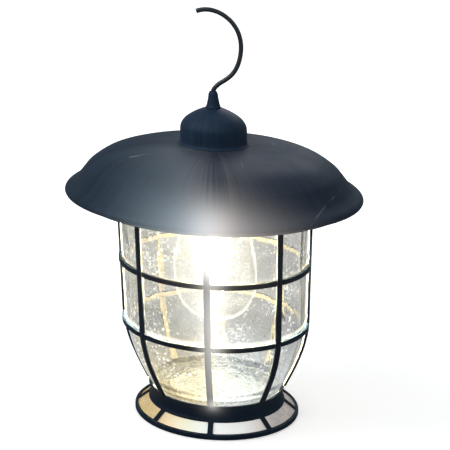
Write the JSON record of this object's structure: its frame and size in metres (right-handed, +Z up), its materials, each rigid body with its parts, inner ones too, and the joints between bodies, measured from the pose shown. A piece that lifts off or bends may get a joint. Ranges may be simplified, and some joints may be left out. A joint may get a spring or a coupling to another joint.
{
  "type": "barn lantern",
  "caption": "Caged hanging lantern with a spun dish hood, swivelling wire hook, blown glass globe, windowed foot and a screw-in filament lamp.",
  "frame": {"origin": "centre of the foot ring's flat underside, on the lantern's axis", "axes": "+Z up along the lantern's axis; the hook's wire lies in the XZ plane with its tip towards -X; a cage rib stands on each of +X, +Y, -X and -Y"},
  "size_m": [0.218, 0.218, 0.3046],
  "materials": {
    "black_paint": "matt blue-black paint over spun and strip steel, faint vertical streaks and small scratches",
    "hook_steel": "dark painted steel wire, worn along the bend",
    "zinc_plate": "bright zinc plate",
    "gasket_rubber": "dull black",
    "seeded_glass": "clear blown glass with seeds and a wavy thick floor",
    "bulb_glass": "thin clear glass",
    "opal_glass": "warm opal glass",
    "white_enamel": "satin white enamel reflector",
    "grey_plastic": "fine moulded grain",
    "cell_jacket": "plain printed sleeve, no marks",
    "nickel_plate": "nickel plate",
    "brass": "drawn brass",
    "black_plastic": "moulded black",
    "filament": "lit warm LED filament",
    "red_plastic": "plain red"
  },
  "bodies": {
    "cage": {"foot_ring": "black_paint", "foot_pane_ring": "opal_glass", "foot_plate": "zinc_plate", "foot_screw_1": "zinc_plate", "foot_screw_2": "zinc_plate", "foot_screw_3": "zinc_plate", "glass_seat": "zinc_plate", "seat_gasket": "gasket_rubber", "glass_globe": "seeded_glass", "cage_hoop_upper": "black_paint", "cage_hoop_lower": "black_paint", "cage_top_ring": "black_paint", "cage_rib_1": "black_paint", "cage_rib_2": "black_paint", "cage_rib_3": "black_paint", "cage_rib_4": "black_paint", "cage_rib_5": "black_paint", "cage_rib_6": "black_paint", "cage_rib_7": "black_paint", "cage_rib_8": "black_paint"},
    "hood": {"hood_shell": "black_paint", "hood_pan": "black_paint", "crown_cap": "black_paint", "finial": "black_paint", "lamp_pipe": "zinc_plate", "lock_nut": "zinc_plate", "gallery_plate": "white_enamel", "gallery_gasket": "gasket_rubber", "glass_top_gasket": "gasket_rubber", "gallery_clip_1": "zinc_plate", "gallery_clip_2": "zinc_plate", "gallery_clip_3": "zinc_plate", "battery_box": "grey_plastic", "battery_cell_1": "cell_jacket", "battery_cell_2": "cell_jacket", "battery_cell_3": "cell_jacket", "battery_contact_1": "nickel_plate", "battery_contact_2": "nickel_plate", "battery_contact_3": "nickel_plate", "lampholder_body": "black_plastic", "lampholder_shell": "brass", "lampholder_contact": "brass", "lead_positive": "red_plastic", "lead_negative": "black_plastic", "switch_body": "black_plastic", "switch_lead": "black_plastic"},
    "hook": {"hook": "hook_steel", "hook_collar": "zinc_plate"},
    "battery_cover": {"battery_cover": "grey_plastic"},
    "switch": {"switch_knob": "red_plastic"},
    "lamp_carrier": {"bulb_contact": "nickel_plate"},
    "lamp": {"bulb_cap": "nickel_plate", "bulb_glass": "bulb_glass", "bulb_insulator": "black_plastic", "bulb_stem": "bulb_glass", "bulb_filament_1": "filament", "bulb_filament_2": "filament", "bulb_filament_3": "filament", "bulb_filament_4": "filament"}
  },
  "joints": [
    {"name": "hood_lift", "type": "slide", "parent": "cage", "child": "hood", "axis": [0, 0, 1], "range_m": [0, 0.12]},
    {"name": "hook_swivel", "type": "hinge", "parent": "hood", "child": "hook", "pos_m": [0, 0, 0.244], "axis": [0, 0, 1], "continuous": true},
    {"name": "cover_twist", "type": "hinge", "parent": "hood", "child": "battery_cover", "pos_m": [0, 0, 0.1767], "axis": [0, 0, 1], "range_deg": [0, 20]},
    {"name": "switch_slide", "type": "slide", "parent": "hood", "child": "switch", "axis": [0, 1, 0], "range_m": [0, 0.004]},
    {"name": "lamp_travel", "type": "slide", "parent": "hood", "child": "lamp_carrier", "axis": [0, 0, 1], "range_m": [-0.0182, 0]},
    {"name": "lamp_turn", "type": "hinge", "parent": "lamp_carrier", "child": "lamp", "pos_m": [0, 0, 0.178], "axis": [0, 0, 1], "range_deg": [-1800, 0]}
  ],
  "couplings": [
    {"joint": "lamp_travel", "follows": "lamp_turn", "m_per_rad": 0.00057774}
  ]
}
